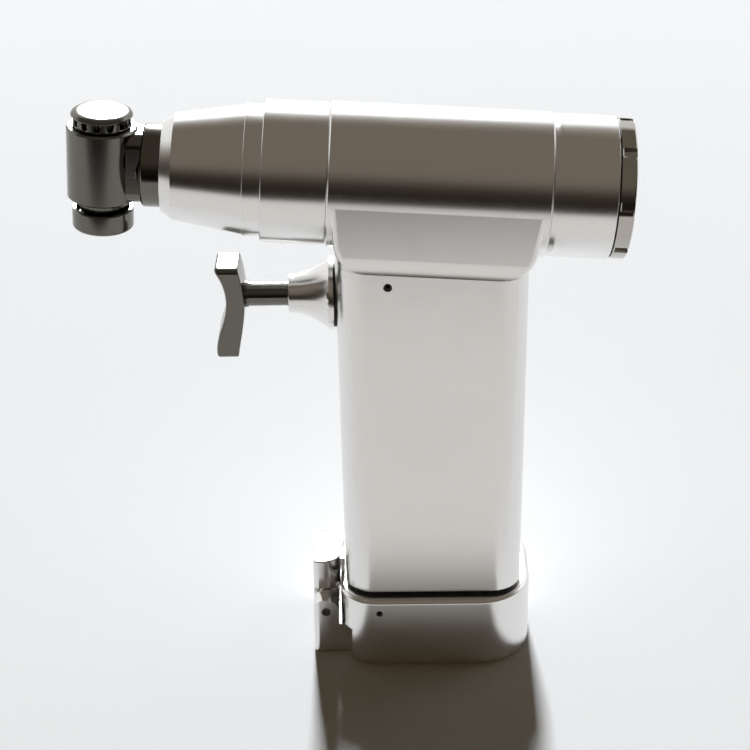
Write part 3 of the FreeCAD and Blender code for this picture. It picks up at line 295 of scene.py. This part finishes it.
# %% Finishes: screws, bearings, springs and the drive
finishes["dark_screw"] = metal("blackened_steel", (0.06, 0.058, 0.055), 0.34, grain=0.4,
                               scratches=0.4)
finishes["bearing_steel"] = metal("ground_steel", (0.55, 0.55, 0.54), 0.20, scratches=0.3)
finishes["spring_steel"] = metal("drawn_wire", (0.42, 0.41, 0.39), 0.26, scratches=0.5)
finishes["machined_aluminium"] = metal("turned_aluminium", (0.78, 0.78, 0.79), 0.30, lines=0.5,
                                       line_scale=RING_SCALE, turn=RING_TURN)
finishes["motor_iron"] = metal("dull_iron", (0.22, 0.21, 0.20), 0.45, drift=0.12, grain=1.0,
                               grain_size=0.3 * MM)
finishes["bush_bronze"] = metal("turned_bronze", (0.60, 0.42, 0.20), 0.30, lines=0.5,
                                line_scale=RING_SCALE)

# %% [markdown]
# What isn't metal is moulded: rubber seals, the battery's case and its wrapped cells, and the
# circuit board. They share a shader with no metal in it, a pebbled height and a dusty tone.

# %% Helper: a moulded material
MOTTLE_SIZE = 6 * MM
DUST_SIZE = 3 * MM
DUST_EDGES = (0.50, 0.75)
DUST = rgb(0.30, 0.29, 0.27)
RUB_SIZE = 9 * MM
RUB = 0.16
MOULDED_BUMP = 0.02 * MM


def moulded(name, colour, roughness, pebble=0.4, pebble_size=0.25 * MM, dust=0.0, drift=0.10):
    material, r, place = new_material(name)
    dark, light = shades(colour, drift)
    paint = r.mix(r.noise(place, MOTTLE_SIZE, 4.0), dark, light)
    if dust:
        settled = r.smooth(r.noise(place, DUST_SIZE, 6.0), *DUST_EDGES) * dust
        paint = r.mix(settled, paint, DUST)
    pebbles = r.noise(place, pebble_size, 2.0)
    rough = roughness + (r.noise(place, RUB_SIZE) - 0.5) * RUB
    bump = r.add("ShaderNodeBump", {}, Strength=0.35, Distance=MOULDED_BUMP,
                 Height=pebbles * pebble)
    shader = r.add("ShaderNodeBsdfPrincipled", {}, Base_Color=paint, Roughness=rough, Normal=bump)
    r.add("ShaderNodeOutputMaterial", {}, shader)
    print("moulded", name, "nodes", len(material.node_tree.nodes))
    return material


# %% [markdown]
# Rubber is nearly black and gathers dust, hard plastic is a little glossier, and shrink wrap and
# solder mask are smooth coloured skins. Only the roughness, the pebble and the colour differ.

# %% Finishes: rubber, plastic, cell wrap and circuit board
finishes["dark_rubber"] = moulded("black_rubber", (0.017, 0.016, 0.015), 0.58, dust=0.12)
finishes["component_black"] = moulded("moulded_black", (0.02, 0.02, 0.022), 0.48)
finishes["case_plastic"] = moulded("battery_case_plastic", (0.05, 0.05, 0.053), 0.45, dust=0.05)
finishes["cell_wrap"] = moulded("shrink_wrap", (0.06, 0.16, 0.34), 0.28, pebble=0.15)
finishes["board_green"] = moulded("solder_mask", (0.015, 0.11, 0.05), 0.30, pebble=0.2)

# %% [markdown]
# Each solid was packed with the name of its material slot, so one loop dresses them all. A solid
# that gets a finer piece below keeps its finish too, since the piece takes the finish of the same
# slot.

# %% Dress every node
for name, node in nodes.items():
    node.data.materials.clear()
    node.data.materials.append(finishes[slots[name]])
print("finishes", len(finishes), "on nodes", len(nodes))

# %% [markdown]
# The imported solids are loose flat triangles, and a polished metal shows every facet. A copy of
# such a mesh can be welded, its flat faces made whole, and its normals smoothed wherever two
# faces meet at a small angle. Real edges are broken by hand, which is a very narrow bevel: it
# draws the thin bright line along each edge. Weighted normals keep the flat faces flat.

# %% Helper: a new piece that stands for a node
def new_piece(name, mesh, node_name):
    """Links a piece, gives it the node's finish and body, and lets it stand for the node."""
    piece = bpy.data.objects.new(name, mesh)
    bpy.context.scene.collection.objects.link(piece)
    mesh.materials.clear()
    mesh.materials.append(finishes[slots[node_name]])
    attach(piece, nodes[node_name]["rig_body"])
    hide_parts(node_name)
    return piece


def keep_flat_faces(piece):
    """Weighted normals let the large flat faces, not the narrow bevels, decide the shading."""
    shading = piece.modifiers.new("flat faces stay flat", "WEIGHTED_NORMAL")
    shading.keep_sharp = True
    shading.weight = 80


# %% [markdown]
# The weld merges the triangles' doubled corners, and the dissolve joins triangles that lie in one
# plane. Only edges steeper than a fillet's small steps are bevelled, so round stretches stay as
# they are.

# %% Helper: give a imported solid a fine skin
WELD = 0.001 * MM
ONE_PLANE = math.radians(0.3)
SMOOTH_BELOW = math.radians(30)
EDGE_ABOVE = math.radians(38)


def skin(node_name, broken_edge=0.0):
    bm = bmesh.new()
    bm.from_mesh(nodes[node_name].data)
    bmesh.ops.remove_doubles(bm, verts=bm.verts, dist=WELD)
    bmesh.ops.dissolve_limit(bm, angle_limit=ONE_PLANE, use_dissolve_boundaries=False,
                             verts=bm.verts, edges=bm.edges, delimit=set())
    for face in bm.faces:
        face.smooth = True
    mesh = bpy.data.meshes.new(node_name + "_skin")
    bm.to_mesh(mesh)
    bm.free()
    mesh.set_sharp_from_angle(angle=SMOOTH_BELOW)
    piece = new_piece(node_name + "_skin", mesh, node_name)
    if broken_edge:
        edge = piece.modifiers.new("broken edges", "BEVEL")
        edge.width = broken_edge
        edge.segments = 2
        edge.limit_method = "ANGLE"
        edge.angle_limit = EDGE_ABOVE
        edge.use_clamp_overlap = True
        edge.miter_outer = "MITER_ARC"
    keep_flat_faces(piece)
    print("skin of", node_name, "faces", len(mesh.polygons))
    return piece


# %% [markdown]
# The housing, the handle, the lid, the lever, the head and the trigger's plate are milled. Their
# edges are long and straight, so a broken edge a tenth of a millimetre wide is what catches the
# window's light.

# %% Skins of the milled parts
BROKEN_EDGE = 0.12 * MM
for name in ("main_housing", "handle_shell", "battery_lid", "latch_lever", "head_body",
             "trigger_plate"):
    skin(name, BROKEN_EDGE)

# %% [markdown]
# The small parts that show have edges finer than any bevel that would be seen, or edges that are
# broken in the solid already. They only need the weld and the smooth shading.

# %% Skins of the small parts that show
for name in ("blade_seat", "release_button", "button_guide", "button_spring", "rear_cap",
             "rear_cap_seal", "boss_gasket", "trigger_bush", "trigger_stem", "lid_seal", "latch_pin",
             "handle_grub_screws", "lid_grub_screws", "trigger_boss"):
    skin(name)

# %% [markdown]
# The rings, the cone and the clamp's cap are lathe work. The natural tool is a spin: half a
# section is drawn as a few points, spun about the axis, and the sharp rims are bevelled as a
# turner breaks an edge with a file. A hundred and ninety-two steps make the round smooth enough
# for a highlight that runs along it.

# %% Helper: turn a piece on the lathe
TURNS = 192
RIM_ABOVE = math.radians(12)


def lathe(node_name, section, place, rim):
    """Spins (station, radius) points in millimetres about x, breaks the rims, and places it."""
    bm = bmesh.new()
    points = [bm.verts.new((station * MM, 0, radius * MM)) for station, radius in section]
    closed = section[0][1] > 0
    pairs = list(zip(points, points[1:] + points[:1])) if closed else list(zip(points, points[1:]))
    edges = [bm.edges.new(pair) for pair in pairs]
    bmesh.ops.spin(bm, geom=points + edges, cent=(0, 0, 0), axis=(1, 0, 0), dvec=(0, 0, 0),
                   angle=2 * math.pi, steps=TURNS, use_merge=True, use_duplicate=False)
    bmesh.ops.remove_doubles(bm, verts=bm.verts, dist=WELD)
    bmesh.ops.recalc_face_normals(bm, faces=bm.faces)
    rims = [e for e in bm.edges if len(e.link_faces) == 2 and e.calc_face_angle() > RIM_ABOVE
            and e.verts[0].co.x == e.verts[1].co.x]
    bmesh.ops.bevel(bm, geom=rims, offset=rim, segments=3, profile=0.5, affect="EDGES",
                    material=-1, clamp_overlap=True)
    for face in bm.faces:
        face.smooth = True
    bm.transform(place)
    mesh = bpy.data.meshes.new(node_name + "_turned")
    bm.to_mesh(mesh)
    bm.free()
    mesh.set_sharp_from_angle(angle=SMOOTH_BELOW)
    piece = new_piece(node_name + "_turned", mesh, node_name)
    keep_flat_faces(piece)
    print(node_name, "faces", len(mesh.polygons), "rims", len(rims) // TURNS)
    return piece


# %% [markdown]
# The nose cone is one turning: a short chamfer at the neck, a long slow taper, and a land against
# the front collar. Its bore is plain, since the neck and the lock ring hide it. Stations are
# measured along the barrel's axis from the point over the origin, and radii from that axis.

# %% Nose cone
BARREL_HEIGHT = 152.5 * MM
BARREL = Matrix.Translation((0, 0, BARREL_HEIGHT)) @ Matrix.Rotation(BARREL_TILT, 4, "Y")
NOSE_START = -75.5
CHAMFER_END = -72.2
TAPER_END = -52.3
FRONT_SEAM = -47.3
NOSE_END = -41.0
NOSE_BORE_FLOOR = -59.0
TIP_RADIUS = 12.75
CHAMFER_RADIUS = 15.0
TAPER_RADIUS = 18.3
LAND_RADIUS = 18.6
COLLAR_BORE = 17.0
NOSE_BORE = 14.0
NECK_BORE = 9.2
NOSE_RIM = 0.10 * MM
lathe("nose_cone", [
    (NOSE_START, NECK_BORE), (NOSE_START, TIP_RADIUS), (CHAMFER_END, CHAMFER_RADIUS),
    (TAPER_END, TAPER_RADIUS), (TAPER_END, LAND_RADIUS), (FRONT_SEAM, LAND_RADIUS),
    (FRONT_SEAM, COLLAR_BORE), (NOSE_END, COLLAR_BORE), (NOSE_END, NOSE_BORE),
    (NOSE_BORE_FLOOR, NOSE_BORE), (NOSE_BORE_FLOOR, NECK_BORE)], BARREL, NOSE_RIM)

# %% [markdown]
# A plain collar closes the housing at each end. Each has a step in its bore, one radius over the
# housing and a smaller one past it. The front collar's rims are filed rounder than the others.

# %% Front collar
HOUSING_START = -29.0
FRONT_STEP = -36.0
FRONT_RADIUS = 20.0
HOUSING_BORE = 18.4
FRONT_RIM = 0.4 * MM
lathe("front_collar", [
    (FRONT_SEAM, COLLAR_BORE), (FRONT_SEAM, FRONT_RADIUS), (HOUSING_START, FRONT_RADIUS),
    (HOUSING_START, HOUSING_BORE), (FRONT_STEP, HOUSING_BORE), (FRONT_STEP, COLLAR_BORE)],
    BARREL, FRONT_RIM)

# %% [markdown]
# The rear collar leans in a little where it meets the housing, and that lean shows in the
# photograph as a soft light band beside the seam.

# %% Rear collar
HOUSING_END = 33.1
LEAN_END = 34.6
REAR_STEP = 40.1
REAR_COLLAR_END = 51.0
LEAN_RADIUS = 19.75
REAR_RADIUS = 20.15
REAR_RIM = 0.18 * MM
lathe("rear_collar", [
    (HOUSING_END, HOUSING_BORE), (HOUSING_END, LEAN_RADIUS), (LEAN_END, REAR_RADIUS),
    (REAR_COLLAR_END, REAR_RADIUS), (REAR_COLLAR_END, COLLAR_BORE), (REAR_STEP, COLLAR_BORE),
    (REAR_STEP, HOUSING_BORE)], BARREL, REAR_RIM)

# %% [markdown]
# The clamp's cap is the thin bright disc on top of the head. Its top is flat in the middle and
# rolls over to the rim in one crown, so the crown is drawn with enough points to stay round.

# %% Clamp cap
HEAD_AXIS = -92.4 * MM
UPRIGHT = BARREL @ Matrix.Translation((HEAD_AXIS, 0, 0)) @ Matrix.Rotation(math.radians(-90), 4, "Y")
CAP_LOW = 14.3
CAP_TALL = 1.5
CAP_CHAMFER = 0.2
CAP_RADIUS = 8.7
CAP_RIM = 0.08 * MM
CROWN = [(CAP_RADIUS, 0.5), (8.52, 0.86), (8.1, 1.17), (7.5, 1.38), (6.7, CAP_TALL)]
lathe("clamp_cap", [
    (CAP_LOW, 0.0), (CAP_LOW, CAP_RADIUS - CAP_CHAMFER), (CAP_LOW + CAP_CHAMFER, CAP_RADIUS)]
    + [(CAP_LOW + rise, radius) for radius, rise in CROWN] + [(CAP_LOW + CAP_TALL, 0.0)],
    UPRIGHT, CAP_RIM)

# %% [markdown]
# The floor is a pale matt sheet. It has no sheen of its own, so that its brightness is the
# colour it is given. Metal mirrors the floor in front of the saw, where the photograph shows a
# pale sheet and then, further on, the dark room. Past the foot, Light Path's Is Glossy Ray swaps
# the floor for a painted reflection in those two tones: a glow that only metal's mirror sees, and
# that leaves out the saw's shadow there. The shadow near the foot stays as it falls.

# %% The floor's finish
PAINTED_REFLECTION_START = -0.062
PAINTED_DARK_START = -0.355
SOFT_EDGE = 0.025
PAPER_SIZE = 0.12
FIBRE_SIZE = 0.6 * MM
FIBRE_BUMP = 0.2 * MM
PAPER = (rgb(0.87, 0.875, 0.88), rgb(0.89, 0.895, 0.90))
# Painted reflection: the tones of a glow that only metal's mirror sees on the floor, pale first,
# then dark further ahead.
PAINTED_PALE_REFLECTION = rgb(0.78, 0.76, 0.745)
PAINTED_DARK_REFLECTION = rgb(0.022, 0.018, 0.012)
floor_material, r, place = new_material("pale_floor")
ahead = 0 - r.add("ShaderNodeSeparateXYZ", {}, place, out="Y")
paper = r.mix(r.noise(place, PAPER_SIZE), *PAPER)
fibres = r.add("ShaderNodeBump", {}, Strength=0.1, Distance=FIBRE_BUMP,
               Height=r.noise(place, FIBRE_SIZE))
sheet = r.add("ShaderNodeBsdfPrincipled", {}, Base_Color=paper, Roughness=0.9,
              Specular_IOR_Level=0.0, Normal=fibres)
# Painted reflection: past the foot, metal sees this glow instead of the lit floor and its shadow,
# and the glow turns dark past the second edge.
painted_dark_band = r.smooth(ahead, -PAINTED_DARK_START - SOFT_EDGE, -PAINTED_DARK_START + SOFT_EDGE)
painted_reflection = r.add("ShaderNodeEmission", {}, r.mix(painted_dark_band, PAINTED_PALE_REFLECTION, PAINTED_DARK_REFLECTION), 1.0)
painted_reflection_mask = r.smooth(ahead, -PAINTED_REFLECTION_START - SOFT_EDGE, -PAINTED_REFLECTION_START + SOFT_EDGE)
shader = r.add("ShaderNodeMixShader", {}, painted_reflection_mask * r.mirror_ray(), sheet, painted_reflection)
r.add("ShaderNodeOutputMaterial", {}, shader)
print("pale_floor nodes", len(floor_material.node_tree.nodes))

# %% [markdown]
# One large square is enough for the sheet. It lies a fifth of a millimetre under the saw's foot,
# because two faces in the same plane would flicker against each other.

# %% The floor
FLOOR_REACH = 4.0
FLOOR_LOW = -0.2 * MM
floor_mesh = bpy.data.meshes.new("floor")
bm = bmesh.new()
bmesh.ops.create_grid(bm, x_segments=1, y_segments=1, size=FLOOR_REACH)
bmesh.ops.translate(bm, verts=bm.verts, vec=(0, 0, FLOOR_LOW))
bm.to_mesh(floor_mesh)
bm.free()
floor = bpy.data.objects.new("floor", floor_mesh)
bpy.context.scene.collection.objects.link(floor)
floor_mesh.materials.append(floor_material)
print("floor faces", len(floor_mesh.polygons), "reach", FLOOR_REACH)

# %% [markdown]
# One window does nearly all the lighting. It stands behind the saw, a hand to the left, so the
# shadow falls towards the viewer. It is far away, which keeps the floor evenly bright, and its
# angular size sets how soft the shadow's edge is. A weak second window on the right opens the
# shadow on that side.

# %% Helper: a window
AIMED_AT = Vector((0, 0, 0.08))


def window(name, azimuth, height, far, wide, tall, watts, colour):
    """A rectangular lamp at an azimuth and a height in degrees, far metres away."""
    data = bpy.data.lights.new(name, "AREA")
    data.shape = "RECTANGLE"
    data.size = wide
    data.size_y = tall
    data.energy = watts
    data.color = colour
    lamp = bpy.data.objects.new(name, data)
    bpy.context.scene.collection.objects.link(lamp)
    level = math.cos(math.radians(height))
    lamp.location = Vector((math.sin(math.radians(azimuth)) * level,
                            math.cos(math.radians(azimuth)) * level,
                            math.sin(math.radians(height)))) * far
    lamp.rotation_euler = (AIMED_AT - lamp.location).to_track_quat("-Z", "Y").to_euler()
    lamp.visible_camera = False
    print(name, "stands at", [round(v, 2) for v in lamp.location])
    return lamp


# %% [markdown]
# The first window is a little blue, as daylight is, and sets the long shadow. The second one is
# white, closer and far weaker.

# %% Windows
window("window", azimuth=-2.5, height=24, far=12.0, wide=1.3, tall=1.7, watts=3080,
       colour=(0.965, 0.99, 1.015))
window("side_window", azimuth=55, height=35, far=6.0, wide=3.0, tall=2.0, watts=12,
       colour=(1.0, 1.0, 1.0))

# %% [markdown]
# Metal shows the room it stands in. The world is white behind, up to the top of the window wall,
# a warm dim ceiling overhead, and dark in front. Diffuse rays get a weak warm fill instead, which
# gives the shadow its brown, and the camera sees a plain pale wall. The Standard view shows these
# tones as they are, without a film's curve.

# %% World
BEHIND = (-0.15, 0.25)
WALL_TOP = (0.60, 0.76)
OVERHEAD = (0.05, 0.5)
WINDOW_WALL = rgb(1.0, 1.0, 0.99)
DARK_ROOM = rgb(0.035, 0.028, 0.022)
DIM_CEILING = rgb(0.18, 0.155, 0.125)
SHADOW_FILL = rgb(0.045, 0.031, 0.013)
PALE_WALL = rgb(0.90, 0.91, 0.91)
world = bpy.data.worlds.new("studio")
bpy.context.scene.world = world
world.use_nodes = True
r = Recipe(world.node_tree)
direction = r.add("ShaderNodeTexCoord", out="Generated")
depth = r.add("ShaderNodeSeparateXYZ", {}, direction, out="Y")
rise = r.add("ShaderNodeSeparateXYZ", {}, direction, out="Z")
wall = r.smooth(depth, *BEHIND) * (1 - r.smooth(rise, *WALL_TOP))
dim = r.mix(r.smooth(rise, *OVERHEAD), DARK_ROOM, DIM_CEILING)
reflected = r.mix(wall, dim, WINDOW_WALL)
lit = r.mix(r.mirror_ray(), SHADOW_FILL, reflected)
seen = r.mix(r.add("ShaderNodeLightPath", out="Is Camera Ray"), lit, PALE_WALL)
background = r.add("ShaderNodeBackground", {}, seen, 1.0)
r.add("ShaderNodeOutputWorld", {}, background)
bpy.context.scene.view_settings.view_transform = "Standard"
print("studio nodes", len(world.node_tree.nodes))
